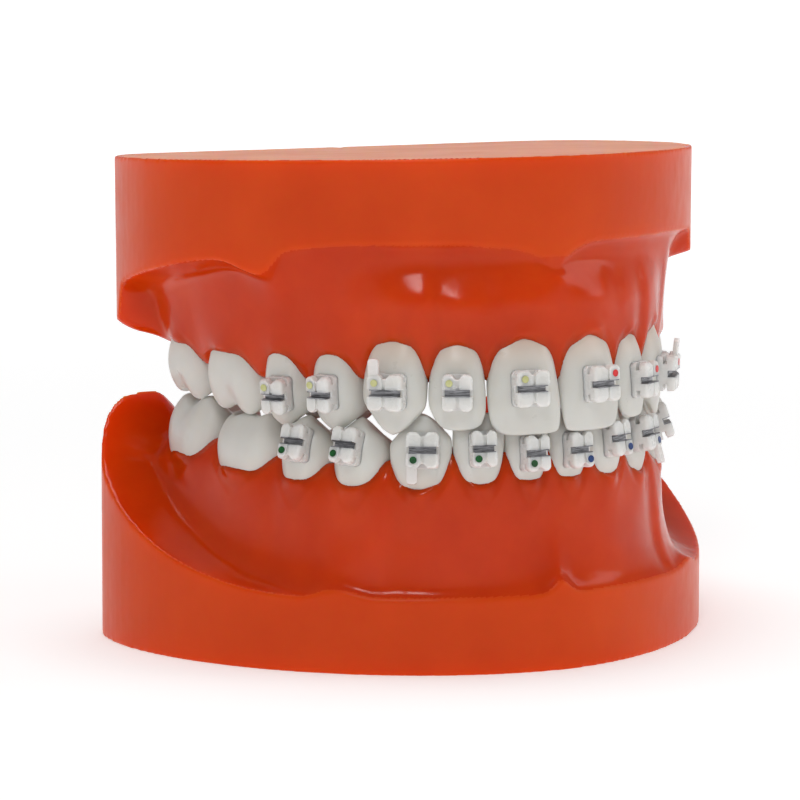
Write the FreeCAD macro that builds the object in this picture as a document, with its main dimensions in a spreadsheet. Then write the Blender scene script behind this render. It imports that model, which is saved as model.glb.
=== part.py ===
import FreeCAD, Part, Sketcher
import math
import os

# Orthodontic typodont: an upper and a lower dental arch of cast resin, biting together.
#
# Each arch is a trimmed base with sculpted gums, fourteen separate teeth whose root stubs sit in
# sockets, and ten bonded twin brackets, each with a metal slot liner and an identification dot.
# Frame: +Z up, -Y towards the front teeth, -X the right side of the mouth. The origin is on the
# face that the lower base stands on, in the mid plane. Millimetres and degrees.

Vector = FreeCAD.Vector
DOC = FreeCAD.newDocument("typodont")
SHEET = DOC.addObject("Spreadsheet::Sheet", "Dimensions")

# ---------------------------------------------------------------- driving dimensions

GENERAL = {
    "top_height": 57.0,  # top face above the origin, in the mid plane at y = 0
    "top_slope_angle": 1.64,  # the top face rises towards the front
    "trim_size": 160.0,
    "wall_draft": 0.2,
    "upper_rim_power": 1.15,
    "lower_rim_power": 1.9,
    "upper_split": 40.3,  # below this tilted plane the gums may stand proud of the wall
    "upper_split_angle": -8.5,
    "lower_split": 17.0,
    "lower_split_angle": 9.0,
    "split_back": -4.0,
    "upper_half_width": 35.4,
    "upper_wide_y": 4.4,
    "upper_front_y": -29.2,
    "upper_back_y": 21.1,
    "upper_back_half_width": 31.4,
    "upper_corner": 6.8,
    "upper_front_power": 1.8,
    "upper_rim": 48.6,
    "upper_rear_rim": 40.4,
    "upper_mouth_floor": 48.0,  # deepest part of the palate
    "upper_ridge_end": 37.8,  # crest behind the last molar, at the back face
    "lower_half_width": 37.4,
    "lower_wide_y": 7.0,
    "lower_front_y": -31.4,
    "lower_back_y": 20.2,
    "lower_back_half_width": 34.4,
    "lower_corner": 7.5,
    "lower_front_power": 1.82,
    "lower_rim": 8.2,
    "lower_rear_rim": 24.6,
    "lower_mouth_floor": 12.0,  # the tongue space
    "lower_ridge_end": 28.7,
    "upper_arch_half_width": 27.15,
    "upper_arch_depth": 41.0,
    "upper_arch_power": 2.13,
    "upper_arch_front_y": -29.4,
    "upper_arch_shift": -0.7,  # sideways offset of the dental arch from the mid plane
    "lower_arch_half_width": 25.95,
    "lower_arch_depth": 38.5,
    "lower_arch_power": 2.35,
    "lower_arch_front_y": -27.5,
    "lower_arch_shift": -0.95,
    "front_trim": -0.1,  # taken off the width of each tooth so that it just clears the next
    "back_trim": 0.3,
    "bracket_height": 4.1,
    "bracket_depth": 1.95,  # how far the wings stand out from the tooth
    "bracket_sink": 0.8,  # stock behind the pad, trimmed to the face of the tooth
    "pad_top": 0.45,
    "neck_height": 2.3,
    "wing_floor": 0.95,
    "corner_radius": 0.6,
    "nose_radius": 0.4,
    "groove_width": 0.4,  # the shallow groove between the front and rear wings
    "groove_floor": 1.75,
    "notch_width": 0.4,
    "notch_flare": 2.2,
    "slot_height": 0.8,
    "slot_floor": 1.0,
    "liner_share": 0.82,  # length of the slot liner as a share of the bracket width
    "liner_depth": 0.9,
    "liner_wall": 0.12,
    "dot_radius": 0.4,
    "dot_depth": 0.3,
    "dot_stand": 0.04,
    "hook_length": 2.6,
    "hook_root": 0.8,  # how far the hook runs back into the wing
    "hook_width": 1.15,
    "hook_thickness": 0.55,
    "hook_level": 1.15,  # height of its foot above the face of the tooth
    "hook_lean": 6.0,
    "hook_tip_radius": 0.4,
}

# width, depth, gum line, tip height, papilla height behind it, labial bulge, torque angle
TOOTH_KEYS = ("width", "depth", "neck", "tip", "papilla", "bulge", "torque")
TEETH = {
    "upper_central_incisor": (8.6, 7.0, 38.0, 26.9, 33.2, 2.1, 8.0),
    "upper_lateral_incisor": (6.4, 6.4, 37.3, 27.6, 33.1, 2.0, 8.0),
    "upper_canine": (7.4, 7.8, 37.7, 27.0, 33.0, 2.6, 5.0),
    "upper_first_premolar": (7.1, 9.0, 35.8, 26.9, 32.6, 2.5, 1.0),
    "upper_second_premolar": (6.8, 9.0, 35.4, 27.0, 32.4, 2.4, 0.0),
    "upper_first_molar": (10.2, 11.0, 34.9, 27.65, 33.0, 2.4, -4.0),
    "upper_second_molar": (8.4, 10.4, 35.0, 28.6, 35.2, 2.3, -4.0),
    "lower_central_incisor": (5.4, 6.0, 21.4, 28.9, 24.6, 1.9, -4.0),
    "lower_lateral_incisor": (5.9, 6.2, 21.1, 29.0, 24.8, 2.0, -4.0),
    "lower_canine": (7.0, 7.6, 20.5, 29.0, 23.6, 2.1, -4.0),
    "lower_first_premolar": (7.2, 7.8, 20.9, 28.4, 22.9, 2.4, -9.0),
    "lower_second_premolar": (7.2, 8.4, 21.2, 28.1, 23.1, 2.4, -10.0),
    "lower_first_molar": (11.2, 10.4, 21.5, 27.9, 24.0, 2.6, -14.0),
    "lower_second_molar": (10.8, 10.2, 22.3, 28.8, 24.6, 2.6, -15.0),
}
# height of the archwire slot, shift of the bracket towards the back, width of the bracket
SEAT_KEYS = ("slot", "shift", "bracket_width")
SEATS = {
    "upper_central_incisor": (32.2, 0.0, 4.0),
    "upper_lateral_incisor": (31.9, 0.0, 3.4),
    "upper_canine": (31.9, 0.2, 4.1),
    "upper_first_premolar": (31.4, 0.2, 3.0),
    "upper_second_premolar": (30.8, -0.6, 3.0),
    "lower_central_incisor": (24.6, 0.0, 2.9),
    "lower_lateral_incisor": (25.3, 0.0, 2.9),
    "lower_canine": (25.2, -0.4, 3.7),
    "lower_first_premolar": (25.3, 0.5, 3.1),
    "lower_second_premolar": (25.2, -0.4, 3.0),
}
ORDER = (
    "central_incisor",
    "lateral_incisor",
    "canine",
    "first_premolar",
    "second_premolar",
    "first_molar",
    "second_molar",
)
SIDES = {"right": -1, "left": 1}
BITE = {"upper": -1, "lower": 1}  # the direction along Z in which the crowns grow


def fill_sheet():
    """Writes every driving dimension to the sheet, each in its own row with an alias."""
    rows = dict(GENERAL)
    for tooth, values in TEETH.items():
        rows.update({f"{tooth}_{key}": value for key, value in zip(TOOTH_KEYS, values)})
    for tooth, values in SEATS.items():
        rows.update({f"{tooth}_{key}": value for key, value in zip(SEAT_KEYS, values)})
    for row, (name, value) in enumerate(rows.items(), 1):
        SHEET.set(f"A{row}", name)
        SHEET.set(f"B{row}", str(value))
        SHEET.setAlias(f"B{row}", name)
    DOC.recompute()


def dim(name):
    return float(getattr(SHEET, name))


def smooth_value(table, t):
    """The value at t in a short list of (t, value) pairs, eased between neighbours."""
    for (t0, v0), (t1, v1) in zip(table, table[1:]):
        if t <= t1:
            x = max(0.0, (t - t0) / (t1 - t0))
            return v0 + (v1 - v0) * (3 * x * x - 2 * x**3)
    return table[-1][1]


def superellipse(angle, power):
    c, s = math.cos(angle), math.sin(angle)
    return math.copysign(abs(c) ** (2 / power), c), math.copysign(abs(s) ** (2 / power), s)


def closed_spline_solid(rings):
    """A smooth solid over rings of control points; the first and last ring are single points."""
    around, count = len(rings[1]), len(rings)
    rows = [ring * around if len(ring) == 1 else ring for ring in rings]
    poles = [[rows[j][i] for j in range(count)] for i in range(around)]
    surface = Part.BSplineSurface()
    surface.buildFromPolesMultsKnots(
        poles,
        [1] * (around + 1),
        [4] + [1] * (count - 4) + [4],
        list(range(around + 1)),
        list(range(count - 2)),
        True,
        False,
        3,
        3,
    )
    solid = Part.Solid(Part.Shell([surface.toShape()]))
    if solid.Volume < 0:
        solid.reverse()
    return solid


# ---------------------------------------------------------------- dental arch form


def arch_table(jaw, steps=900):
    """Points along the +X half of the arch, from the midline backwards, with arc lengths."""
    half, depth = dim(f"{jaw}_arch_half_width"), dim(f"{jaw}_arch_depth")
    power, front = dim(f"{jaw}_arch_power"), dim(f"{jaw}_arch_front_y")
    points, lengths = [], []
    for i in range(steps + 1):
        angle = math.pi / 2 * i / steps
        x = half * math.sin(angle) ** (2 / power)
        y = front + depth - depth * math.cos(angle) ** (2 / power)
        lengths.append(lengths[-1] + math.dist((x, y), points[-1]) if points else 0.0)
        points.append((x, y))
    return lengths, points


def arch_point(table, length):
    """The plan point at an arc length from the midline; straight back beyond the curve."""
    lengths, points = table
    if length >= lengths[-1]:
        return points[-1][0], points[-1][1] + length - lengths[-1]
    low, high = 0, len(lengths) - 1
    while high - low > 1:
        middle = (low + high) // 2
        low, high = (middle, high) if lengths[middle] <= length else (low, middle)
    share = (length - lengths[low]) / (lengths[high] - lengths[low])
    return tuple(a + share * (b - a) for a, b in zip(points[low], points[high]))


def arch_normal(table, length):
    """Outward plan direction of the arch at an arc length."""
    a, b = arch_point(table, max(0.0, length - 1.5)), arch_point(table, length + 1.5)
    size = math.dist(a, b)
    if length == 0:
        return 0.0, -1.0
    return (b[1] - a[1]) / size, (a[0] - b[0]) / size


def tooth_start(jaw, name):
    return sum(dim(f"{jaw}_{other}_width") for other in ORDER[: ORDER.index(name)])


def tooth_frame(table, jaw, name):
    """Centre of a tooth on the +X half, its direction along the arch and its outward one."""
    start = tooth_start(jaw, name)
    a = arch_point(table, start)
    b = arch_point(table, start + dim(f"{jaw}_{name}_width"))
    size = math.dist(a, b)
    along = ((b[0] - a[0]) / size, (b[1] - a[1]) / size)
    return ((a[0] + b[0]) / 2, (a[1] + b[1]) / 2), along, (along[1], -along[0])


# ---------------------------------------------------------------- teeth
# A tooth is drawn in its own frame: u backwards along the arch, v outwards to the lip or cheek,
# w from the neck to the biting edge. Its sections are rings of control points.

AROUND = 32
ANGLES = [2 * math.pi * i / AROUND for i in range(AROUND)]
ROOT_LENGTH = 7.0
NECK_INSET = 0.8  # the crown starts this far inside the gum
ROOT = ((-1.0, 0.3), (-0.92, 0.5), (-0.5, 0.72), (-0.15, 0.95))  # level, share of the neck


def root_rings(half_width, lab, ling):
    """Tapered root stub below the neck, from its tip upwards."""
    mid, half_depth = (lab + ling) / 2, (lab - ling) / 2
    rings = [[(0.0, mid, -ROOT_LENGTH)]]
    for level, share in ROOT:
        ring = []
        for angle in ANGLES:
            c, s = superellipse(angle, 2.1)
            ring.append((half_width * share * c, mid + half_depth * share * s, level * ROOT_LENGTH))
        rings.append(ring)
    return rings


# edge drop at the front and rear corner, power of the drop, width share at neck and edge
FRONT_FORMS = {
    "upper_central_incisor": (0.3, 1.1, 6.0, 0.76, 0.93),
    "upper_lateral_incisor": (0.6, 1.6, 4.0, 0.74, 0.86),
    "upper_canine": (1.9, 2.5, 1.7, 0.76, 0.74),
    "lower_central_incisor": (0.2, 0.3, 6.0, 0.70, 0.96),
    "lower_lateral_incisor": (0.2, 0.5, 6.0, 0.70, 0.96),
    "lower_canine": (1.7, 2.4, 1.7, 0.74, 0.75),
}
FRONT_ROWS = (0.0, 0.13, 0.28, 0.45, 0.62, 0.78, 0.9, 0.98)


def front_rings(key, width, depth, height, bulge):
    """Rings of an incisor or canine, from the root tip to the biting edge."""
    drop_front, drop_rear, power, neck, edge = FRONT_FORMS[key]
    lab_form = ((0, -0.9), (0.35, 0.0), (0.7, -0.25), (1.0, -0.95))
    ling_form = ((0, 0.9), (0.2, 1.0), (0.6, 0.56), (0.85, 0.37), (1.0, 0.30))
    half_form = ((0, neck), (0.4, 0.92), (0.7, 1.0), (0.88, 0.99), (1.0, edge))

    def ring_at(t, thin, shrink, rise):
        lab = bulge + smooth_value(lab_form, t)
        ling = bulge - depth * smooth_value(ling_form, t)
        mid = (lab + ling) / 2
        lab, ling = mid + (lab - mid) * thin, mid + (ling - mid) * thin
        waist = mid + (min(lab, 0.4) - mid) * 0.6
        half = width / 2 * smooth_value(half_form, t) * shrink
        ring = []
        for angle in ANGLES:
            c, s = superellipse(angle, 2.3)
            v = waist + (lab - waist if s > 0 else waist - ling) * s
            drop = (drop_rear if c > 0 else drop_front) * abs(c) ** power
            ring.append((half * c, v, t * (height - drop) + rise))
        return ring

    neck_ring = ring_at(0.0, 1.0, 1.0, 0.0)
    lab, ling = max(p[1] for p in neck_ring), min(p[1] for p in neck_ring)
    rings = root_rings(width / 2 * neck, lab, ling)
    rings += [ring_at(t, 1.0, 1.0, 0.0) for t in FRONT_ROWS]
    rings += [ring_at(1.0, 0.86, 0.97, 0.12), ring_at(1.0, 0.4, 0.9, 0.2)]
    edge_v = bulge - (0.95 + depth * 0.30) / 2
    return rings + [[(0.0, edge_v, height + 0.2)]], lab, ling


# cusps: (u as a share of the half width, v as a share of the depth from the cheek side,
# drop below the tip, slope); then the plan power and the depth of the groove on the cheek side
BACK_FORMS = {
    "upper_first_premolar": (((-0.05, 0.24, 0.0, 0.85), (-0.15, 0.76, 0.8, 0.75)), 2.3, 0.0),
    "upper_second_premolar": (((0.0, 0.24, 0.0, 0.8), (-0.1, 0.76, 0.4, 0.7)), 2.35, 0.0),
    "upper_first_molar": (
        (
            (-0.48, 0.2, 0.0, 0.72),
            (0.42, 0.21, 0.3, 0.72),
            (-0.34, 0.78, 0.2, 0.7),
            (0.5, 0.8, 1.0, 0.7),
        ),
        3.0,
        0.7,
    ),
    "upper_second_molar": (
        (
            (-0.48, 0.2, 0.0, 0.7),
            (0.42, 0.22, 0.5, 0.7),
            (-0.3, 0.78, 0.3, 0.7),
            (0.5, 0.8, 1.3, 0.7),
        ),
        2.9,
        0.6,
    ),
    "lower_first_premolar": (((0.0, 0.3, 0.0, 0.9), (0.0, 0.8, 2.0, 0.7)), 2.3, 0.0),
    "lower_second_premolar": (
        ((0.0, 0.27, 0.0, 0.75), (-0.35, 0.8, 0.9, 0.7), (0.42, 0.8, 1.2, 0.7)),
        2.4,
        0.0,
    ),
    "lower_first_molar": (
        (
            (-0.56, 0.22, 0.0, 0.75),
            (0.08, 0.2, 0.1, 0.75),
            (0.64, 0.27, 0.5, 0.75),
            (-0.45, 0.82, 0.0, 0.7),
            (0.38, 0.82, 0.2, 0.7),
        ),
        3.1,
        0.0,
    ),
    "lower_second_molar": (
        (
            (-0.46, 0.22, 0.0, 0.72),
            (0.46, 0.22, 0.2, 0.72),
            (-0.45, 0.82, 0.1, 0.7),
            (0.45, 0.82, 0.3, 0.7),
        ),
        3.0,
        0.6,
    ),
}
BACK_WALL = (
    # level, share of the half width, share of the half depth
    (0.0, 0.80, 0.86),
    (0.2, 0.88, 0.96),
    (0.42, 0.97, 1.0),
    (0.64, 1.0, 0.97),
    (0.82, 0.97, 0.88),
    (0.94, 0.91, 0.80),
)
TABLE_WIDTH, TABLE_DEPTH = 0.84, 0.72  # the chewing table, as shares of the crown
FOSSA_DEPTH = 2.4
SHARPNESS = 3.2


def back_rings(key, width, depth, height, bulge):
    """Rings of a premolar or molar: up the wall, over the cusps and into the fossa."""
    cusps, power, groove = BACK_FORMS[key]
    mid = bulge - depth / 2

    def table_height(u, v):
        total = math.exp(SHARPNESS * (height - FOSSA_DEPTH))
        for cusp_u, cusp_v, drop, slope in cusps:
            far = math.hypot(u - cusp_u * width / 2, v - bulge + cusp_v * depth)
            total += math.exp(SHARPNESS * (height + 0.5 - drop - slope * math.hypot(far, 0.3)))
        return math.log(total) / SHARPNESS

    def plan(angle, share_u, share_v, level):
        c, s = superellipse(angle, power)
        notch = groove * math.exp(-((c / 0.2) ** 2)) * abs(s) * level
        taper = 1 - 0.12 * max(0.0, -s)
        return width / 2 * share_u * taper * c, mid + (depth / 2 * share_v - notch) * s

    crest = [table_height(*plan(angle, TABLE_WIDTH, TABLE_DEPTH, 1.0)) for angle in ANGLES]
    lab, ling = mid + depth / 2 * BACK_WALL[0][2], mid - depth / 2 * BACK_WALL[0][2]
    rings = root_rings(width / 2 * BACK_WALL[0][1], lab, ling)
    for level, share_u, share_v in BACK_WALL:
        rings.append(
            [
                (*plan(angle, share_u, share_v, level), level * top)
                for angle, top in zip(ANGLES, crest)
            ]
        )
    for share in (1.0, 0.8, 0.6, 0.4, 0.2):
        ring = []
        for angle in ANGLES:
            u, v = plan(angle, TABLE_WIDTH * share, TABLE_DEPTH * share, 1.0)
            ring.append((u, v, table_height(u, v)))
        rings.append(ring)
    return rings + [[(0.0, mid, table_height(0.0, mid))]], lab, ling


def crown_height(key):
    return abs(dim(f"{key}_tip") - dim(f"{key}_neck")) + NECK_INSET


def tooth_rings(key):
    """The rings of a tooth, and the outward and inward reach of its neck, in its own frame."""
    front = key in FRONT_FORMS
    width = dim(f"{key}_width") - dim("front_trim" if front else "back_trim")
    make = front_rings if front else back_rings
    return make(key, width, dim(f"{key}_depth"), crown_height(key), dim(f"{key}_bulge"))


def lean(key, v, w):
    """Leans a crown outwards by its torque, about the middle of its height."""
    angle, pivot = math.radians(dim(f"{key}_torque")), crown_height(key) / 2
    rise = w - pivot
    return (
        v * math.cos(angle) + rise * math.sin(angle),
        pivot + rise * math.cos(angle) - v * math.sin(angle),
    )


def make_tooth(jaw, side, name, table):
    """One tooth as a solid in its own frame, placed on the arch."""
    key = f"{jaw}_{name}"
    hand, bite = SIDES[side], BITE[jaw]
    flip = -hand * bite  # keeps the tooth's own frame right-handed
    rings = []
    for ring in tooth_rings(key)[0]:
        rings.append([Vector(flip * u, *lean(key, v, w)) for u, v, w in ring])
    item = DOC.addObject("Part::Feature", f"{jaw}_{side}_{name}")
    item.Label = f"{jaw}_{side}_{name}"
    item.Shape = closed_spline_solid(rings)
    centre, along, out = tooth_frame(table, jaw, name)
    axis_u = Vector(flip * hand * along[0], flip * along[1], 0)
    axis_v = Vector(hand * out[0], out[1], 0)
    frame = FreeCAD.Matrix()
    frame.A11, frame.A21, frame.A31 = axis_u
    frame.A12, frame.A22, frame.A32 = axis_v
    frame.A13, frame.A23, frame.A33 = (0, 0, bite)
    neck = dim(f"{key}_neck") - bite * NECK_INSET
    x = hand * centre[0] + dim(f"{jaw}_arch_shift")
    frame.A14, frame.A24, frame.A34 = x, centre[1], neck
    item.Placement = FreeCAD.Placement(frame)
    return item


def make_teeth():
    teeth = {}
    for jaw in BITE:
        table = arch_table(jaw)
        for side in SIDES:
            for name in ORDER:
                teeth[jaw, side, name] = make_tooth(jaw, side, name, table)
    return teeth


# ---------------------------------------------------------------- bases


def wall_outline(jaw, height, inset):
    """The trimmed outline of a base: a rounded front, straight sides and a flat back."""
    half, wide_y = dim(f"{jaw}_half_width") - inset, dim(f"{jaw}_wide_y")
    front_y, back_y = dim(f"{jaw}_front_y") + inset, dim(f"{jaw}_back_y") - inset
    back_half, corner = dim(f"{jaw}_back_half_width") - inset, dim(f"{jaw}_corner")
    power = dim(f"{jaw}_front_power")
    front = []
    for i in range(-24, 25):
        angle = math.pi / 2 * i / 24
        x = math.copysign(abs(math.sin(angle)) ** (2 / power), angle) * half
        y = wide_y - (wide_y - front_y) * math.cos(angle) ** (2 / power)
        front.append(Vector(x, y, height))
    curve = Part.BSplineCurve()
    curve.interpolate(front)
    side_y, turn_y = back_y - corner, back_y - corner * 0.29
    middle_y, flat_x = (wide_y + side_y) / 2, back_half - corner * 0.95

    def side_x(y):
        return half + (back_half - half) * ((y - wide_y) / (back_y - wide_y)) ** 2

    def side(hand):
        wide = Vector(hand * half, wide_y, height)
        middle = Vector(hand * side_x(middle_y), middle_y, height)
        low = Vector(hand * side_x(side_y), side_y, height)
        turn = Vector(hand * (side_x(turn_y) - corner * 0.24), turn_y, height)
        end = Vector(hand * flat_x, back_y, height)
        return [Part.Arc(wide, middle, low).toShape(), Part.Arc(low, turn, end).toShape()]

    back = Part.makeLine(Vector(flat_x, back_y, height), Vector(-flat_x, back_y, height))
    return Part.Wire(Part.__sortEdges__([curve.toShape(), *side(1), back, *side(-1)]))


def wall_distance(jaw, point, normal):
    """Distance from a plan point to the trimmed wall, ignoring the rounded rear corners."""
    half, wide_y = dim(f"{jaw}_half_width"), dim(f"{jaw}_wide_y")
    front_y, power = dim(f"{jaw}_front_y"), dim(f"{jaw}_front_power")
    low, high = 0.0, 14.0
    for _ in range(30):
        middle = (low + high) / 2
        x, y = point[0] + middle * normal[0], point[1] + middle * normal[1]
        depth = (wide_y - y) / (wide_y - front_y) if y < wide_y else 0.0
        inside = abs(x / half) ** power + abs(depth) ** power < 1
        low, high = (middle, high) if inside else (low, middle)
    return low


def rim_height(jaw, y):
    """Height at which the gum surface meets the trimmed wall."""
    front, rear = dim(f"{jaw}_rim"), dim(f"{jaw}_rear_rim")
    share = max(0.0, (y + 20.0) / 40.0)
    return front + (rear - front) * share ** dim(f"{jaw}_rim_power")


# Stations across a tooth: place along its width, share of the papilla height, and how far the
# gum surface follows the tooth outwards
TOOTH_STATIONS = (
    (0.0, 1.35, 0.1),
    (0.15, 0.62, 0.55),
    (0.37, 0.06, 1.0),
    (0.63, 0.06, 1.0),
    (0.85, 0.62, 0.55),
)
# How far the fold of a frenum pulls the rim towards the teeth: (tooth, station) -> millimetres
FOLDS = {
    "upper": {
        ("central_incisor", 0): 3.6,
        ("central_incisor", 1): 1.7,
        ("central_incisor", 2): 0.5,
        ("second_premolar", 1): 0.6,
        ("second_premolar", 2): 3.0,
        ("second_premolar", 3): 2.1,
        ("second_premolar", 4): 1.3,
        ("first_molar", 0): 0.6,
        ("first_molar", 1): 0.2,
    },
    "lower": {
        ("central_incisor", 0): 1.9,
        ("central_incisor", 1): 0.9,
        ("first_premolar", 2): 0.5,
        ("first_premolar", 3): 1.0,
        ("first_premolar", 4): 0.5,
    },
}


def gum_stations(jaw):
    """Stations of the +X half: those on teeth, then the ridge behind the last molar.

    A tooth station is (arc length, surface out and in, neck out and in, margin, neck height,
    following, fold); a ridge station is (arc length, crest height, 0).
    """
    stations = []
    before = None
    for name in ORDER:
        key = f"{jaw}_{name}"
        start, width = tooth_start(jaw, name), dim(f"{key}_width")
        neck, after = dim(f"{key}_neck"), dim(f"{key}_papilla")
        _, lab, ling = tooth_rings(key)
        lab, ling = lean(key, lab, NECK_INSET)[0], lean(key, ling, NECK_INSET)[0]
        for i, (place, papilla, follow) in enumerate(TOOTH_STATIONS):
            peak = after if place > 0.5 or before is None else before
            out = lab * follow - 0.6 * (1 - follow)
            inward = ling * (0.72 + 0.28 * follow)
            margin = neck + (peak - neck) * papilla
            fold = FOLDS[jaw].get((name, i), 0.0)
            stations.append(
                (start + place * width, out, inward, lab, ling, margin, neck, follow, fold)
            )
        before = after
    end, crest = start + width, dim(f"{jaw}_ridge_end")
    stations.append((end, 0.0, ling * 0.8, lab, ling, neck + BITE[jaw] * 0.6, neck, 0.2, 0.0))
    for far, share in ((1.8, 0.12), (4.0, 0.55), (7.0, 0.95), (10.0, 1.0), (13.0, 1.0)):
        stations.append((end + far, neck + (crest - neck) * share, 0.0))
    return stations


def outer_rows(wall, rim, bite, fold):
    """From far outside the block to the point where the gum surface meets its wall."""
    return [
        (wall + 9.0, rim - bite * 14.0),
        (wall + 6.0, rim - bite * 6.0),
        (wall + 3.0, rim + bite * (fold - 1.0)),
        (wall + 0.4, rim + bite * fold),
    ]


def tooth_rows(wall, rim, bite, floor, station):
    """Vestibule, root swell, rolled margin, socket and inner slope of a gum section."""
    _, out, inward, lab, ling, margin, neck, follow, fold = station
    rise = neck - rim
    root = lab - 0.1 + 0.1 * follow
    swell = rim + rise * 0.58
    return [
        (min(wall - 0.9, root + 2.2), rim + bite * (0.9 + fold)),
        (min(wall - 1.0 + fold * 0.4, root + 0.9 + fold * 0.4), rim + rise * 0.3),
        (root + 0.5, swell),
        (root * 0.85 + out * 0.15 + 0.5, (swell + margin - bite * 1.8) / 2),
        (root * 0.6 + out * 0.4 + 0.45, margin - bite * 1.8),
        (out + 0.75, margin - bite * 0.5),
        (out + 0.4, margin + bite * 0.08),
        (out - 0.8, margin + bite * 0.15),
        ((out + inward) / 2, margin - bite * 0.5),
        (inward + 0.8, margin + bite * 0.15),
        (inward - 0.4, margin + bite * 0.1),
        (inward - 0.8, margin - bite * 0.5),
        (ling - 0.9, neck - bite * 2.4),
        (ling - 2.2, neck * 0.5 + floor * 0.5),
    ]


def ridge_rows(wall, rim, floor, crest):
    """The rounded ridge behind the last molar: up from the rim and down to the mouth floor."""
    rows = []
    for i in range(8):
        turn = math.pi / 2 * min(1.0, (i + 0.8) / 5)
        rise = (crest - rim) * math.sin(turn) ** 0.6
        rows.append((wall * (0.97 - 1.05 * (i / 7) ** 1.15), rim + rise))
    for i in range(6):
        fall = 0.5 + 0.5 * math.cos(math.pi * (i + 0.7) / 7)
        rows.append((-1.6 - 1.9 * i, floor + (crest - floor) * fall))
    return rows


def gum_profile(jaw, table, station, hand):
    """One section of the gum surface, from outside the wall over the ridge to the mouth floor.

    Both halves are drawn at +X; hand tells which one it is, for the sideways shift of the arch.
    """
    bite, floor = BITE[jaw], dim(f"{jaw}_mouth_floor")
    length, fold = station[0], station[-1]
    x, y = arch_point(table, length)
    point, normal = (x + hand * dim(f"{jaw}_arch_shift"), y), arch_normal(table, length)
    wall = wall_distance(jaw, point, normal)
    rim = rim_height(jaw, point[1] + wall * normal[1])
    profile = outer_rows(wall, rim, bite, fold)
    if len(station) == 3:
        neck = station[1]
        profile += ridge_rows(wall, rim, floor, neck)
    else:
        neck = station[6]
        profile += tooth_rows(wall, rim, bite, floor, station)
    points = [(point[0] + v * normal[0], point[1] + v * normal[1], z) for v, z in profile]
    x, y = points[-1][:2]
    for share, height in ((0.62, 0.16 if len(station) > 3 else 0.03), (0.3, 0.01)):
        inner_y = FAN_CENTRE + (y - FAN_CENTRE) * share
        points.append((x * share, inner_y, floor + (neck - floor) * height))
    return points


FAN_CENTRE = 5.0  # the gum sections fan out about this point of the mid plane
REAR_SECTIONS = ((152, 0.08), (162, 0.0), (171, 0.0), (180, 0.0))  # plan angle, share of the ridge


def rear_profile(jaw, last, angle, share):
    """A section of the gum surface across the open back, fading from the last ridge section."""
    floor, turn = dim(f"{jaw}_mouth_floor"), math.radians(angle)
    points = []
    for i, ridge in enumerate(last):
        reach = math.hypot(ridge[0], ridge[1] - FAN_CENTRE)
        height = floor + (ridge[2] - floor) * share if i else floor - BITE[jaw] * 10.0
        points.append((reach * math.sin(turn), FAN_CENTRE - reach * math.cos(turn), height))
    return points


def make_gum(jaw):
    """The whole sculpted volume of an arch, before its walls are trimmed."""
    table, stations, halves = arch_table(jaw), gum_stations(jaw), {}
    for side, hand in SIDES.items():
        half = [gum_profile(jaw, table, station, hand) for station in stations]
        last = half[-1]
        half += [rear_profile(jaw, last, angle, share) for angle, share in REAR_SECTIONS]
        halves[side] = half
    right = [[(-x, y, z) for x, y, z in profile] for profile in halves["right"][-2:0:-1]]
    sections = halves["left"] + right
    far = dim(f"{jaw}_rim") - BITE[jaw] * 16.0
    rings = [[Vector(0, FAN_CENTRE, far)]]
    rings.append([Vector(section[0][0], section[0][1], far) for section in sections])
    rings += [[Vector(*section[row]) for section in sections] for row in range(len(last))]
    rings.append([Vector(0, FAN_CENTRE, dim(f"{jaw}_mouth_floor"))])
    item = DOC.addObject("Part::Feature", f"{jaw}_gum_form")
    item.Shape = closed_spline_solid(rings)
    return item


def make_block(jaw):
    """The trimmed block of a base, tapering towards the teeth, and its flat outer face."""
    taper, top, bite = math.tan(math.radians(dim("wall_draft"))), dim("top_height"), BITE[jaw]
    outer = 0.0 if bite > 0 else top + 6.0
    inner = outer + bite * 40.0
    start = 0.0 if bite > 0 else -6.0 * taper
    wires = [wall_outline(jaw, outer, start), wall_outline(jaw, inner, start + 40.0 * taper)]
    item = DOC.addObject("Part::Feature", f"{jaw}_block_form")
    item.Shape = Part.makeLoft(wires, True, True)
    return item


def slab(name, height, angle, down, back):
    """A large slab whose face passes through (0, 0, height), tilted about X; y reaches back."""
    box = DOC.addObject("Part::Box", name)
    for side in ("Length", "Width", "Height"):
        box.setExpression(side, "Dimensions.trim_size")
    size = dim("trim_size")
    turn = FreeCAD.Rotation(Vector(1, 0, 0), angle)
    corner = turn.multVec(Vector(-size / 2, back - size, -size if down else 0.0))
    box.Placement = FreeCAD.Placement(Vector(0, 0, height) + corner, turn)
    return box


def combine(kind, name, base, tool):
    item = DOC.addObject(f"Part::{kind}", name)
    item.Base, item.Tool = base, tool
    return item


def gather(name, items):
    item = DOC.addObject("Part::Compound", name)
    item.Links = items
    return item


def make_base(jaw, teeth):
    """A trimmed block joined to its gums, with a socket for each tooth."""
    gum, block = make_gum(jaw), make_block(jaw)
    split, angle = dim(f"{jaw}_split"), dim(f"{jaw}_split_angle")
    beyond = slab(f"{jaw}_gum_side", split, angle, jaw == "upper", dim("split_back"))
    form = combine("Common", f"{jaw}_form", gum, combine("Fuse", f"{jaw}_limits", block, beyond))
    if jaw == "upper":
        back = dim("trim_size") / 2
        waste = slab("upper_waste", dim("top_height"), -dim("top_slope_angle"), False, back)
        form = combine("Cut", "upper_trimmed", form, waste)
    sockets = gather(f"{jaw}_sockets", [tooth for key, tooth in teeth.items() if key[0] == jaw])
    base = combine("Cut", f"{jaw}_base", form, sockets)
    base.Label = f"{jaw}_base"
    return base


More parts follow.
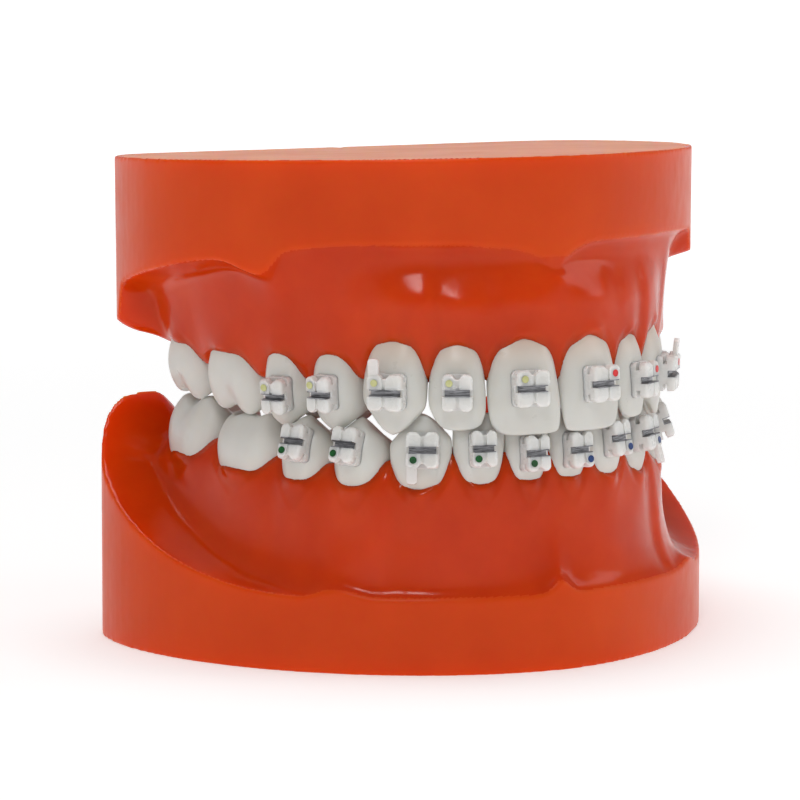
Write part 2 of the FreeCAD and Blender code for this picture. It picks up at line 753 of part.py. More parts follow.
# ---------------------------------------------------------------- brackets
# A bracket is drawn in its own frame: X along the archwire slot, Y towards the gum, Z outwards
# from the face of the tooth, with the origin on that face in the middle of the slot. Lengths in
# its sketches are shares of a sheet value: (share, alias).

UNTURNED = FreeCAD.Rotation()


def value(term):
    return term[0] * dim(term[1])


def formula(term):
    return f"{term[0]} * Dimensions.{term[1]}"


def origin_plane(body, role):
    return next(plane for plane in body.Origin.OriginFeatures if plane.Role == role)


def polygon_sketch(body, name, role, corners):
    """A closed polygon on an origin plane, each corner dimensioned from the origin."""
    sketch = body.newObject("Sketcher::SketchObject", name)
    sketch.AttachmentSupport = [(origin_plane(body, role), "")]
    sketch.MapMode = "FlatFace"
    points = [Vector(value(x), value(y), 0) for x, y in corners]
    count = len(points)
    for i in range(count):
        sketch.addGeometry(Part.LineSegment(points[i], points[(i + 1) % count]), False)
    for i in range(count):
        sketch.addConstraint(Sketcher.Constraint("Coincident", i, 2, (i + 1) % count, 1))
    for i, corner in enumerate(corners):
        for axis, term in zip(("DistanceX", "DistanceY"), corner):
            index = sketch.addConstraint(Sketcher.Constraint(axis, -1, 1, i, 1, value(term)))
            sketch.setExpression(f"Constraints[{index}]", formula(term))
    return sketch


def mirrored(corners, axis):
    """The corners followed by their mirror image in one axis, back to the start."""
    other = []
    for corner in corners[::-1]:
        flipped = list(corner)
        flipped[axis] = (-corner[axis][0], corner[axis][1])
        other.append(tuple(flipped))
    return corners + other


def side_corners():
    """Half of the side view, from the foot of the pad to the floor of the slot."""
    height, neck, slot = "bracket_height", "neck_height", "slot_height"
    return [
        ((0.5, height), (-1, "bracket_sink")),
        ((0.5, height), (1, "pad_top")),
        ((0.5, neck), (1, "pad_top")),
        ((0.5, neck), (1, "wing_floor")),
        ((0.5, height), (1, "wing_floor")),
        ((0.5, height), (1, "bracket_depth")),
        ((0.5, slot), (1, "bracket_depth")),
        ((0.5, slot), (1, "slot_floor")),
    ]


def groove_corners():
    """The groove between the front and rear wings."""
    width, height = "groove_width", "bracket_height"
    return mirrored([((0.5, width), (0.6, height)), ((0.5, width), (-0.6, height))], 0)


def notch_corners(end):
    """The open notch between the wings at one end of the groove."""
    flare, waist, height = "notch_flare", "notch_width", "bracket_height"
    half = [((0.5, flare), (0.6 * end, height)), ((0.5, waist), (0.38 * end, height))]
    return mirrored(half, 0)


def edges_where(shape, test):
    return [f"Edge{i}" for i, edge in enumerate(shape.Edges, 1) if test(edge.CenterOfMass)]


def soften(body, name, base, radius, test):
    fillet = body.newObject("PartDesign::Fillet", name)
    fillet.Base = (base, edges_where(base.Shape, test))
    fillet.setExpression("Radius", f"Dimensions.{radius}")
    DOC.recompute()
    return fillet


def cut_wings(body, name, corners, floor):
    """A pocket through the wings down to a floor."""
    pocket = body.newObject("PartDesign::Pocket", name)
    pocket.Profile = polygon_sketch(body, f"{name}_outline", "XY_Plane", corners)
    pocket.Profile[0].setExpression("AttachmentOffset.Base.z", f"Dimensions.{floor}")
    pocket.setExpression("Length", "Dimensions.bracket_depth")
    pocket.Reversed = True
    DOC.recompute()
    return pocket


def make_hook(body, across, half_height):
    """The flat hook that stands up from the rear wing of a canine bracket."""
    hook = body.newObject("PartDesign::AdditiveBox", "hook")
    hook.setExpression("Length", "Dimensions.hook_width")
    hook.setExpression("Width", "Dimensions.hook_length")
    hook.setExpression("Height", "Dimensions.hook_thickness")
    foot = Vector(across - dim("hook_width") / 2, half_height - dim("hook_root"), dim("hook_level"))
    hook.Placement = FreeCAD.Placement(foot, FreeCAD.Rotation(Vector(1, 0, 0), dim("hook_lean")))
    DOC.recompute()
    far = half_height - dim("hook_root") + dim("hook_length") * 0.98

    def at_tip(p):
        return p.y > far and abs(abs(p.x - across) - dim("hook_width") / 2) < 1e-6

    soften(body, "hook_tip", hook, "hook_tip_radius", at_tip)


def bracket_body(key, name, hand):
    """One twin bracket in its own frame; hand turns its rear wing to -X or +X."""
    body = DOC.addObject("PartDesign::Body", f"{name}_body")
    half_height, half_width = dim("bracket_height") / 2, dim(f"{key}_bracket_width") / 2
    floor, top = dim("wing_floor"), dim("bracket_depth")

    def at_corner(p):
        return abs(abs(p.x) - half_width) < 1e-6 and abs(abs(p.y) - half_height) < 1e-6

    def at_nose(p):
        return abs(abs(p.y) - half_height) < 1e-6 and p.z > top - 1e-6

    pad = body.newObject("PartDesign::Pad", "side_view")
    pad.Profile = polygon_sketch(body, "side_outline", "YZ_Plane", mirrored(side_corners(), 0))
    pad.Midplane = True
    pad.setExpression("Length", f"Dimensions.{key}_bracket_width")
    DOC.recompute()
    corners = soften(body, "corners", pad, "corner_radius", at_corner)
    nose = soften(body, "nose", corners, "nose_radius", at_nose)
    cut_wings(body, "groove", groove_corners(), "groove_floor")
    cut_wings(body, "gum_notch", notch_corners(1), "wing_floor")
    notch = cut_wings(body, "edge_notch", notch_corners(-1), "wing_floor")
    if notch.Shape.Volume > nose.Shape.Volume - 0.3:
        raise RuntimeError("the notches point away from the bracket")
    if key.endswith("canine"):
        make_hook(body, hand * half_width * 0.62, half_height)
    hole = body.newObject("PartDesign::SubtractiveCylinder", "dot_hole")
    hole.setExpression("Radius", "Dimensions.dot_radius")
    hole.setExpression("Height", "Dimensions.dot_depth")
    hole.Placement = FreeCAD.Placement(dot_place(key, hand), FreeCAD.Rotation())
    body.Tip = hole
    DOC.recompute()
    return body


def dot_place(key, hand):
    """Foot of the identification dot, on the rear wing on the gum side."""
    across, up = dim(f"{key}_bracket_width") * 0.27, dim("bracket_height") * 0.27
    return Vector(hand * across, up, dim("bracket_depth") - dim("dot_depth"))


def seat(jaw, side, name, tooth, table):
    """Where a bracket sits: on the face of its tooth, square to the surface."""
    key, hand = f"{jaw}_{name}", SIDES[side]
    centre, along, out = tooth_frame(table, jaw, name)
    shift, slot = dim(f"{key}_shift"), dim(f"{key}_slot")
    x = hand * (centre[0] + along[0] * shift) + dim(f"{jaw}_arch_shift")
    y = centre[1] + along[1] * shift
    far = Vector(x + hand * out[0] * 12, y + out[1] * 12, slot)
    ray = Part.makeLine(far, Vector(x, y, slot))
    hits = [vertex.Point for vertex in ray.common(tooth.Shape).Vertexes]
    point = min(hits, key=far.distanceToPoint)
    face = tooth.Shape.Faces[0]
    normal = face.normalAt(*face.Surface.parameter(point))
    if normal.dot(far - point) < 0:
        normal = -normal
    gingival = Vector(0, 0, -BITE[jaw])
    axis_y = (gingival - normal * gingival.dot(normal)).normalize()
    axis_x = axis_y.cross(normal)
    return FreeCAD.Placement(point, FreeCAD.Rotation(axis_x, axis_y, normal, "ZXY"))


def make_box(name, sizes, placement):
    """A block with its three sides bound to the sheet."""
    box = DOC.addObject("Part::Box", name)
    for side, size in zip(("Length", "Width", "Height"), sizes):
        box.setExpression(side, size)
    box.Placement = placement
    return box


def make_liner(key, name, place):
    """The metal channel in the archwire slot of a bracket."""
    length = dim("liner_share") * dim(f"{key}_bracket_width")
    slot, wall, floor = dim("slot_height"), dim("liner_wall"), dim("slot_floor")
    corner = Vector(-length / 2, -slot / 2, floor)
    sizes = [
        f"Dimensions.liner_share * Dimensions.{key}_bracket_width",
        "Dimensions.slot_height",
        "Dimensions.liner_depth",
    ]
    outer = make_box(f"{name}_outer", sizes, place * FreeCAD.Placement(corner, UNTURNED))
    corner += Vector(0, wall, wall)
    sizes[1] += " - 2 * Dimensions.liner_wall"
    inner = make_box(f"{name}_inner", sizes, place * FreeCAD.Placement(corner, UNTURNED))
    return combine("Cut", name, outer, inner)


def make_dot(key, name, place, hand):
    dot = DOC.addObject("Part::Cylinder", name)
    dot.setExpression("Radius", "Dimensions.dot_radius")
    dot.setExpression("Height", "Dimensions.dot_depth + Dimensions.dot_stand")
    dot.Placement = place * FreeCAD.Placement(dot_place(key, hand), UNTURNED)
    return dot


def make_brackets(teeth):
    """Every bracket, the slot liners of each arch and the dots of each quarter."""
    made = []
    for jaw in BITE:
        table, liners = arch_table(jaw), []
        for side in SIDES:
            dots, hand = [], -SIDES[side] * BITE[jaw]
            for name in ORDER[:5]:
                key, label = f"{jaw}_{name}", f"{jaw}_{side}_{name}"
                tooth = teeth[jaw, side, name]
                place = seat(jaw, side, name, tooth, table)
                body = bracket_body(key, label, hand)
                body.Placement = place
                bracket = combine("Cut", f"{label}_bracket", body, tooth)
                bracket.Label = f"{label}_bracket"
                made.append(bracket)
                liners.append(make_liner(key, f"{label}_liner", place))
                dots.append(make_dot(key, f"{label}_dot", place, hand))
            made.append(gather(f"{jaw}_{side}_bracket_dots", dots))
        made.append(gather(f"{jaw}_slot_liners", liners))
    return made


# ---------------------------------------------------------------- output


def check_document():
    for item in DOC.Objects:
        if {"Invalid", "Error"} & set(item.State):
            raise RuntimeError(f"{item.Label} failed: {item.State}")


def write_parts(parts):
    os.makedirs("parts", exist_ok=True)
    for item in parts:
        if item.Shape.isNull() or not item.Shape.isValid():
            raise RuntimeError(f"{item.Label} has no valid shape")
    for item in parts:
        item.Shape.exportStep(f"parts/{item.Label}.step")


def main():
    fill_sheet()
    teeth = make_teeth()
    parts = list(teeth.values())
    parts += make_brackets(teeth)
    parts += [make_base(jaw, teeth) for jaw in BITE]
    DOC.recompute()
    check_document()
    write_parts(parts)


main()
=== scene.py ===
import bpy
import math
import numpy as np
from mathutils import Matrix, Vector
from mathutils.bvhtree import BVHTree


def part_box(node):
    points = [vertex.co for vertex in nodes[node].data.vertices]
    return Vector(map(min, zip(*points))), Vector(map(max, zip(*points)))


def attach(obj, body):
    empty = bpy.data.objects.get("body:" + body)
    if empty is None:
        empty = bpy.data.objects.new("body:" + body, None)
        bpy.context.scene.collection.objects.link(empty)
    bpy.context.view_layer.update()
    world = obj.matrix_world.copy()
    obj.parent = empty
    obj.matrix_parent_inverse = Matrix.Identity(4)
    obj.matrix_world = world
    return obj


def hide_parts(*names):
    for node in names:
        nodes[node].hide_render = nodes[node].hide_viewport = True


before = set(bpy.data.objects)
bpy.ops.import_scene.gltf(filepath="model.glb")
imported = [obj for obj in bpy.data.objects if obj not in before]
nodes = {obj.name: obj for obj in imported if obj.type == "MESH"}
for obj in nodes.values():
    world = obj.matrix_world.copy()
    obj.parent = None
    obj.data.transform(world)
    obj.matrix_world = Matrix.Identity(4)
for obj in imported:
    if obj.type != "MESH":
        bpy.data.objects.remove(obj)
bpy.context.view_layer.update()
MM = 0.001

# ---------------------------------------------------------------- node helpers


def new_material(name):
    material = bpy.data.materials.new(name)
    material.use_nodes = True
    tree = material.node_tree
    return material, tree, tree.nodes["Principled BSDF"]


def add(tree, kind, **settings):
    node = tree.nodes.new(kind)
    for key, value in settings.items():
        if key.startswith("in_"):
            node.inputs[key[3:].replace("_", " ")].default_value = value
        else:
            setattr(node, key, value)
    return node


def link(tree, source, output, target, socket):
    tree.links.new(source.outputs[output], target.inputs[socket])


def noise(tree, scale, detail=3.0, rough=0.5, stretch=None):
    """Noise in object coordinates; stretch scales the axes first."""
    coords = add(tree, "ShaderNodeTexCoord")
    texture = add(tree, "ShaderNodeTexNoise", in_Scale=scale, in_Detail=detail, in_Roughness=rough)
    if stretch:
        mapping = add(tree, "ShaderNodeMapping")
        mapping.inputs["Scale"].default_value = stretch
        link(tree, coords, "Object", mapping, "Vector")
        link(tree, mapping, "Vector", texture, "Vector")
    else:
        link(tree, coords, "Object", texture, "Vector")
    return texture


def ramp(tree, source, stops):
    node = add(tree, "ShaderNodeValToRGB")
    while len(node.color_ramp.elements) < len(stops):
        node.color_ramp.elements.new(0.5)
    for element, (place, color) in zip(node.color_ramp.elements, stops):
        element.position = place
        element.color = (*color, 1.0) if len(color) == 3 else (color[0],) * 3 + (1.0,)
    link(tree, source, "Fac", node, "Fac")
    return node


def bump(tree, shader, layers):
    """Stacks bump layers (height node, output, strength, distance) onto a shader."""
    last = None
    for source, output, strength, distance in layers:
        node = add(tree, "ShaderNodeBump", in_Strength=strength, in_Distance=distance)
        link(tree, source, output, node, "Height")
        if last:
            link(tree, last, "Normal", node, "Normal")
        last = node
    link(tree, last, "Normal", shader, "Normal")


# ---------------------------------------------------------------- materials


def cast_resin(name, deep, light, roughness, specular, scratches, marks_depth):
    """Translucent cast resin: clouded colour, uneven gloss, fine grain and tool marks."""
    material, tree, shader = new_material(name)
    cloud = noise(tree, 90.0, 4.0, 0.55)
    colour = ramp(tree, cloud, ((0.3, deep), (0.75, light)))
    link(tree, colour, "Color", shader, "Base Color")
    blotches = noise(tree, 260.0, 5.0, 0.6)
    rough = ramp(tree, blotches, ((0.2, (roughness * 0.85,)), (0.8, (roughness * 1.2,))))
    link(tree, rough, "Color", shader, "Roughness")
    shader.inputs["Subsurface Weight"].default_value = 0.75
    shader.inputs["Subsurface Radius"].default_value = (1.0, 0.4, 0.1)
    shader.inputs["Subsurface Scale"].default_value = 0.005
    shader.inputs["IOR"].default_value = 1.5
    shader.inputs["Specular IOR Level"].default_value = specular
    grain = noise(tree, 1800.0, 2.0)
    swell = noise(tree, 220.0, 2.0)
    marks = noise(tree, 420.0, 4.0, 0.65, scratches)
    bump(
        tree,
        shader,
        (
            (swell, "Fac", 0.16, 0.0006),
            (marks, "Fac", marks_depth, 0.0003),
            (grain, "Fac", 0.05, 0.0001),
        ),
    )
    return material


MIX_FACTOR, MIX_A, MIX_B, MIX_RESULT = 0, 6, 7, 2  # the colour sockets of a Mix node


def tooth_resin(name, clear, neck):
    """Tooth shade with a painted glow: warmer from the level clear to the level neck, standing in
    for light from the gum shining through.
    """
    material, tree, shader = new_material(name)
    cloud = noise(tree, 160.0, 3.0, 0.5)
    colour = ramp(tree, cloud, ((0.3, (0.64, 0.63, 0.585)), (0.7, (0.70, 0.695, 0.655))))
    height = add(tree, "ShaderNodeSeparateXYZ")
    link(tree, add(tree, "ShaderNodeTexCoord"), "Object", height, "Vector")
    share = add(tree, "ShaderNodeMapRange", interpolation_type="SMOOTHSTEP")
    share.inputs["From Min"].default_value = clear
    share.inputs["From Max"].default_value = neck
    share.inputs["To Max"].default_value = 0.6
    link(tree, height, "Z", share, "Value")
    # painted glow: an orange tint on the necks stands in for gum light shining into the teeth
    painted_gum_glow = add(tree, "ShaderNodeMix", data_type="RGBA")
    link(tree, share, "Result", painted_gum_glow, MIX_FACTOR)
    link(tree, colour, "Color", painted_gum_glow, MIX_A)
    painted_gum_glow.inputs[MIX_B].default_value = (0.74, 0.49, 0.34, 1)
    link(tree, painted_gum_glow, MIX_RESULT, shader, "Base Color")
    rough = ramp(tree, noise(tree, 400.0, 4.0, 0.6), ((0.3, (0.26,)), (0.7, (0.40,))))
    link(tree, rough, "Color", shader, "Roughness")
    shader.inputs["Subsurface Weight"].default_value = 0.4
    shader.inputs["Subsurface Radius"].default_value = (1.0, 0.8, 0.6)
    shader.inputs["Subsurface Scale"].default_value = 0.0015
    shader.inputs["IOR"].default_value = 1.52
    lines = noise(tree, 700.0, 3.0, 0.5, (1.0, 1.0, 0.25))
    grain = noise(tree, 1600.0, 3.0)
    bump(tree, shader, ((lines, "Fac", 0.06, 0.0002), (grain, "Fac", 0.05, 0.0001)))
    return material


def bracket_ceramic():
    """Translucent ceramic: light spreads inside it and evens out its shading."""
    material, tree, shader = new_material("bracket_ceramic_shade")
    cloud = noise(tree, 500.0, 3.0)
    colour = ramp(tree, cloud, ((0.3, (0.70, 0.70, 0.67)), (0.7, (0.77, 0.77, 0.75))))
    link(tree, colour, "Color", shader, "Base Color")
    rough = ramp(tree, noise(tree, 900.0, 3.0), ((0.3, (0.22,)), (0.7, (0.36,))))
    link(tree, rough, "Color", shader, "Roughness")
    shader.inputs["Subsurface Weight"].default_value = 1.0
    shader.inputs["Subsurface Radius"].default_value = (1.0, 0.95, 0.9)
    shader.inputs["Subsurface Scale"].default_value = 0.0014
    shader.inputs["IOR"].default_value = 1.45
    bump(tree, shader, ((noise(tree, 2500.0, 3.0), "Fac", 0.04, 0.0001),))
    return material


def steel():
    material, tree, shader = new_material("slot_steel")
    shader.inputs["Metallic"].default_value = 1.0
    streaks = noise(tree, 800.0, 4.0, 0.6, (1.0, 1.0, 12.0))
    colour = ramp(tree, streaks, ((0.35, (0.07, 0.07, 0.075)), (0.65, (0.42, 0.42, 0.44))))
    link(tree, colour, "Color", shader, "Base Color")
    rough = ramp(tree, streaks, ((0.3, (0.3,)), (0.7, (0.45,))))
    link(tree, rough, "Color", shader, "Roughness")
    bump(tree, shader, ((streaks, "Fac", 0.1, 0.0001),))
    return material


def dot_paint(name, dark, light):
    material, tree, shader = new_material(name)
    colour = ramp(tree, noise(tree, 1500.0, 3.0), ((0.3, dark), (0.7, light)))
    link(tree, colour, "Color", shader, "Base Color")
    shader.inputs["Roughness"].default_value = 0.3
    bump(tree, shader, ((noise(tree, 3000.0, 2.0), "Fac", 0.15, 0.0001),))
    return material


# gum and wall are one resin: the gum's darker, deeper red than the wall's is painted shade
GUM = cast_resin(
    "gum_gloss", (0.55, 0.034, 0.001), (0.67, 0.053, 0.002), 0.15, 0.2, (1.0, 1.0, 1.0), 0.08
)
WALL = cast_resin(
    "wall_satin", (0.62, 0.056, 0.002), (0.69, 0.072, 0.004), 0.32, 0.15, (3.0, 3.0, 0.12), 0.04
)
# flat face: pale ground resin, partly a real ground finish, partly a painted sheen of white light
# reflected at grazing angles
FLAT = cast_resin(
    "flat_ground", (0.78, 0.27, 0.16), (0.88, 0.38, 0.25), 0.5, 0.5, (0.15, 4.0, 1.0), 0.25
)
TEETH = {
    "upper": tooth_resin("upper_tooth_resin", 0.033, 0.039),
    "lower": tooth_resin("lower_tooth_resin", 0.0235, 0.0175),
}
BRACKET, STEEL = bracket_ceramic(), steel()
DOTS = {
    "upper_right": dot_paint("dot_yellow_paint", (0.50, 0.50, 0.20), (0.62, 0.62, 0.30)),
    "upper_left": dot_paint("dot_red_paint", (0.60, 0.008, 0.01), (0.80, 0.02, 0.02)),
    "lower_right": dot_paint("dot_green_paint", (0.002, 0.05, 0.008), (0.006, 0.13, 0.025)),
    "lower_left": dot_paint("dot_blue_paint", (0.003, 0.02, 0.10), (0.008, 0.05, 0.22)),
}


def set_material(item, material):
    for slot in item.material_slots:
        slot.material = material
    if not item.material_slots:
        item.data.materials.append(material)


for name, item in nodes.items():
    if name.endswith("_base"):
        set_material(item, GUM)
    elif name.endswith("_bracket"):
        set_material(item, BRACKET)
    elif name.endswith("_liners"):
        set_material(item, STEEL)
    elif name.endswith("_dots"):
        set_material(item, DOTS[name.replace("_bracket_dots", "")])
    else:
        set_material(item, TEETH[name[:5]])

# ---------------------------------------------------------------- bases
# Each base is shown by a finer skin of the same shape: its trimmed edges and gum margins are
# softly rounded, the mouth floor is evened out, and the palate gets its folds (rugae).

VOXEL, WELD_DISTANCE = 0.00027, 0.00001  # in m
EDGE_ROUNDS, FLOOR_ROUNDS = 4, 60  # smoothing rounds of the whole skin and of the mouth floor
SHARE_STEPS = 10  # steps in which the smoothing fades out at the rim of the mouth floor
# half width, widest y, front y, back y, half width at the back, power of the front curve
OUTLINES = {
    "upper": (35.4, 4.4, -29.2, 21.1, 31.4, 1.8),
    "lower": (37.4, 7.0, -31.4, 20.2, 34.4, 1.82),
}
CORNERS = {"upper": 6.8, "lower": 7.5}  # size of the rounded rear corners
TRIMMED = {"upper": 57.8, "lower": 0.0}  # level of the trimmed top and bottom faces
GUM_LEVELS = {"upper": 46.5, "lower": 10.5}  # the front wall begins beyond this level
FRONT_GUM_Y = -15.0  # in front of this the gum bulges out to the outline
ON_OUTLINE, NEAR_OUTLINE = 0.985, 0.86  # shares of the outline at which a face is on it, or near
REAR_WALL_Y, BACK_MARGIN = 8.0, 0.3
UPRIGHT_RISE, FLAT_RISE = 0.08, 0.97  # vertical part of the normal of walls and flat faces
# mouth floor: centre x and y, half width, half depth, level that divides it from the ridges
FLOORS = {"upper": (-0.7, 2.0, 15.0, 20.0, 39.0), "lower": (-0.9, 3.0, 14.0, 18.0, 19.5)}


def applied(item):
    """The mesh of an item with its modifiers applied."""
    graph = bpy.context.evaluated_depsgraph_get()
    return bpy.data.meshes.new_from_object(item.evaluated_get(graph))


def coordinates(mesh):
    flat = np.empty(len(mesh.vertices) * 3, dtype=np.float32)
    mesh.vertices.foreach_get("co", flat)
    return flat.reshape(-1, 3)


def floor_share(jaw, points):
    """1 on the mouth floor, falling to 0 towards the ridges; points in mm."""
    x, y, half, depth, level = FLOORS[jaw]
    radius = np.hypot((points[:, 0] - x) / half, np.minimum(0, points[:, 1] - y) / depth)
    inside = np.clip((1.0 - radius) * 4.0, 0, 1)
    z = points[:, 2]
    beyond = z - level if jaw == "upper" else level - z
    before_back = TRIMMED[jaw] - z if jaw == "upper" else z - TRIMMED[jaw]
    return inside * np.clip(beyond / 1.5, 0, 1) * np.clip(before_back - 1.0, 0, 1)


def rugae(points):
    """Height of the folds of the palate: a middle seam and four pairs of curved ridges."""
    x, y = points[:, 0] + 0.7, points[:, 1]
    height = 0.25 * np.exp(-((x / 0.7) ** 2))
    for i, (start, length) in enumerate(((-19.0, 6.5), (-16.0, 8.5), (-13.0, 9.5), (-10.0, 8.0))):
        across = np.abs(x)
        line = start + 0.25 * across + 0.5 * np.sin(across * 0.8 + i * 1.7)
        reach = np.clip((across - 1.0) / 1.5, 0, 1) * np.clip((length - across) / 2.0, 0, 1)
        height += 0.42 * reach * np.exp(-(((y - line) / 0.65) ** 2))
    papilla = 0.6 * np.exp(-((x / 1.3) ** 2) - ((y + 21.5) / 2.2) ** 2)
    return height + papilla


def outline_share(jaw, x, y):
    """Near 1 on the trimmed outline, less inside it."""
    half, wide_y, front_y, back_y, back_half, power = OUTLINES[jaw]
    corner = CORNERS[jaw]
    behind = np.clip((y - wide_y) / (back_y - wide_y), 0, 1)
    width = half + (back_half - half) * behind**2
    depth = np.clip((wide_y - y) / (wide_y - front_y), 0, None)
    share = np.abs(x / width) ** power + depth**power
    side_y, flat_x = back_y - corner, back_half - corner * 0.95
    side_x = half + (back_half - half) * ((side_y - wide_y) / (back_y - wide_y)) ** 2
    across = np.clip((np.abs(x) - flat_x) / (side_x - flat_x), 0, None)
    round_share = across**1.8 + np.clip((y - side_y) / corner, 0, None) ** 1.8
    return np.where(y > side_y, np.where(np.abs(x) > flat_x, round_share + 0.05, 0.0), share)


def close_on_teeth(jaw, points):
    """Draws the gum margins onto the crowns, so that they meet without a gap; points in m."""
    reach, pull, full_pull = 0.0008, 0.0005, 0.8
    crowns = ("incisor", "canine", "premolar", "molar")
    graph = bpy.context.evaluated_depsgraph_get()
    for name, node in nodes.items():
        if not name.startswith(jaw) or not name.endswith(crowns):
            continue
        tree = BVHTree.FromObject(node, graph)
        low, high = (np.array(corner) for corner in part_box(name))
        near = np.all((points > low - reach) & (points < high + reach), axis=1)
        for index in np.nonzero(near)[0]:
            place = Vector(points[index].tolist())
            spot, normal, _, _ = tree.find_nearest(place, reach)
            if spot:
                gap = (place - spot).dot(normal)
                share = min(1.0, max(0.0, (reach - gap) / (reach * full_pull)))
                points[index] -= np.array(normal) * pull * share


def remeshed(jaw):
    """A closed, evenly divided copy of a base with its sharp edges slightly rounded."""
    raw = bpy.data.objects.new(f"{jaw}_base_raw", nodes[f"{jaw}_base"].data.copy())
    bpy.context.scene.collection.objects.link(raw)
    weld = raw.modifiers.new("weld", "WELD")
    weld.merge_threshold = WELD_DISTANCE
    remesh = raw.modifiers.new("remesh", "REMESH")
    remesh.mode = "VOXEL"
    remesh.voxel_size = VOXEL
    smooth = raw.modifiers.new("smooth", "SMOOTH")
    smooth.factor = 0.5
    smooth.iterations = EDGE_ROUNDS
    mesh = applied(raw)
    bpy.data.objects.remove(raw)
    return mesh


def even_floor(skin, jaw):
    """Smooths the mouth floor of a skin and leaves the rest."""
    share = floor_share(jaw, coordinates(skin.data) / MM)
    group = skin.vertex_groups.new(name="floor")
    for level in range(1, SHARE_STEPS + 1):
        chosen = (share > (level - 1) / SHARE_STEPS) & (share <= level / SHARE_STEPS)
        group.add(np.nonzero(chosen)[0].tolist(), level / SHARE_STEPS, "REPLACE")
    even = skin.modifiers.new("even", "SMOOTH")
    even.factor = 0.5
    even.iterations = FLOOR_ROUNDS
    even.vertex_group = "floor"
    mesh = applied(skin)
    skin.modifiers.clear()
    skin.data = mesh


def assign_faces(mesh, jaw):
    """Gloss and painted shade for the gums, satin for the trimmed walls, ground finish with painted
    sheen for the flat face.
    """
    count = len(mesh.polygons)
    centres = np.empty(count * 3, dtype=np.float32)
    normals = np.empty(count * 3, dtype=np.float32)
    mesh.polygons.foreach_get("center", centres)
    mesh.polygons.foreach_get("normal", normals)
    x, y, z = centres.reshape(-1, 3).T / MM
    rise = normals.reshape(-1, 3)[:, 2]
    edge, back_y = outline_share(jaw, x, y), OUTLINES[jaw][3]
    beyond_gum = z > GUM_LEVELS[jaw] if jaw == "upper" else z < GUM_LEVELS[jaw]
    trimmed = (edge > ON_OUTLINE) & ((y > FRONT_GUM_Y) | beyond_gum)
    upright = (np.abs(rise) < UPRIGHT_RISE) & (edge > NEAR_OUTLINE) & (y > REAR_WALL_Y)
    wall = trimmed | upright | (y > back_y - BACK_MARGIN)
    if jaw == "upper":
        flat = (rise > FLAT_RISE) & (z > TRIMMED[jaw] - 2.8)
    else:
        flat = (rise < -FLAT_RISE) & (z < TRIMMED[jaw] + 0.5)
    mesh.materials.clear()
    for material in (GUM, WALL, FLAT):
        mesh.materials.append(material)
    choice = np.where(flat, 2, np.where(wall, 1, 0)).astype(np.int32)
    mesh.polygons.foreach_set("material_index", choice)
    mesh.polygons.foreach_set("use_smooth", np.ones(count, dtype=bool))
    mesh.update()


def base_skin(jaw):
    """The visible skin of a base, in place of its CAD node."""
    skin = bpy.data.objects.new(f"{jaw}_base_skin", remeshed(jaw))
    bpy.context.scene.collection.objects.link(skin)
    even_floor(skin, jaw)
    points = coordinates(skin.data)
    if jaw == "upper":
        share = floor_share(jaw, points / MM)
        points[:, 2] -= rugae(points / MM) * share * MM
    close_on_teeth(jaw, points)
    skin.data.vertices.foreach_set("co", points.ravel())
    skin.data.update()
    assign_faces(skin.data, jaw)
    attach(skin, f"{jaw}_arch")
    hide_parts(f"{jaw}_base")


for jaw in OUTLINES:
    base_skin(jaw)

# ---------------------------------------------------------------- camera, floor and light

AIM = Vector((-0.00283, 0.00166, 0.02721))
AZIMUTH, ELEVATION, DISTANCE = math.radians(-30.5), math.radians(7.18), 0.43626
scene = bpy.context.scene
camera = bpy.data.objects.new("camera", bpy.data.cameras.new("camera"))
scene.collection.objects.link(camera)
back = Vector(
    (
        math.sin(AZIMUTH) * math.cos(ELEVATION),
        -math.cos(AZIMUTH) * math.cos(ELEVATION),
        math.sin(ELEVATION),
    )
)
camera.location = AIM + back * DISTANCE
camera.rotation_euler = back.to_track_quat("Z", "Y").to_euler()
camera.data.lens = 164.6
camera.data.sensor_width = 36.0
camera.data.clip_start = 0.01
scene.camera = camera
scene.view_settings.view_transform = "Standard"

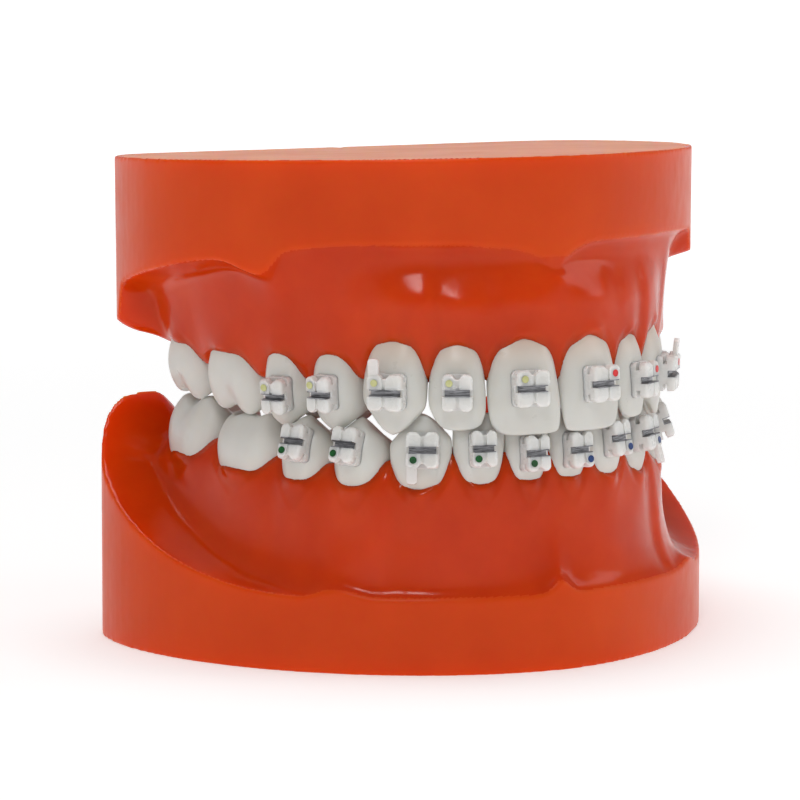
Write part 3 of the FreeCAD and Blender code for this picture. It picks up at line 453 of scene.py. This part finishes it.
FLOOR_SIZE = 12.0
floor_mesh = bpy.data.meshes.new("floor")
corners = [(sx * FLOOR_SIZE, sy * FLOOR_SIZE, 0) for sx, sy in ((-1, -1), (1, -1), (1, 1), (-1, 1))]
floor_mesh.from_pydata(corners, [], [(0, 1, 2, 3)])
floor = bpy.data.objects.new("floor", floor_mesh)
scene.collection.objects.link(floor)
floor_material, floor_tree, floor_shader = new_material("floor_white")
floor_shader.inputs["Base Color"].default_value = (0.9, 0.9, 0.9, 1)
floor_shader.inputs["Emission Color"].default_value = (1, 1, 1, 1)
away = add(floor_tree, "ShaderNodeVectorMath", operation="LENGTH")
link(floor_tree, add(floor_tree, "ShaderNodeTexCoord"), "Object", away, "Vector")
glow = add(floor_tree, "ShaderNodeMapRange", interpolation_type="SMOOTHSTEP")
for socket, number in (("From Min", 0.1), ("From Max", 0.9), ("To Min", 0.3), ("To Max", 0.85)):
    glow.inputs[socket].default_value = number
link(floor_tree, away, "Value", glow, "Value")
link(floor_tree, glow, "Result", floor_shader, "Emission Strength")
floor_shader.inputs["Roughness"].default_value = 0.9
floor_shader.inputs["Specular IOR Level"].default_value = 0.0
floor_mesh.materials.append(floor_material)

world = bpy.data.worlds.new("studio")
scene.world = world
world.use_nodes = True
background = world.node_tree.nodes["Background"]
sky = world.node_tree
sky_height = add(sky, "ShaderNodeSeparateXYZ")
link(sky, add(sky, "ShaderNodeTexCoord"), "Generated", sky_height, "Vector")
sky_shade = add(sky, "ShaderNodeValToRGB")
for element, (place, shade) in zip(sky_shade.color_ramp.elements, ((0.1, 0.85), (0.35, 0.27))):
    element.position = place
    element.color = (shade, shade, shade, 1.0)
link(sky, sky_height, "Z", sky_shade, "Fac")
link(sky, sky_shade, "Color", background, "Color")
background.inputs["Strength"].default_value = 1.0


LIGHT_AIM = Vector((0, 0, 0.03))


def softbox(name, place, size, power):
    data = bpy.data.lights.new(name, "AREA")
    data.shape = "RECTANGLE"
    data.size, data.size_y = size
    data.energy = power
    item = bpy.data.objects.new(name, data)
    scene.collection.objects.link(item)
    item.location = place
    item.rotation_euler = (Vector(place) - LIGHT_AIM).to_track_quat("Z", "Y").to_euler()


softbox("key", (-0.35, -0.50, 0.55), (0.16, 0.16), 1.0)
softbox("fill", (0.55, -0.30, 0.30), (0.2, 0.3), 0.4)
softbox("top", (0.0, 0.05, 0.8), (0.4, 0.4), 2.6)
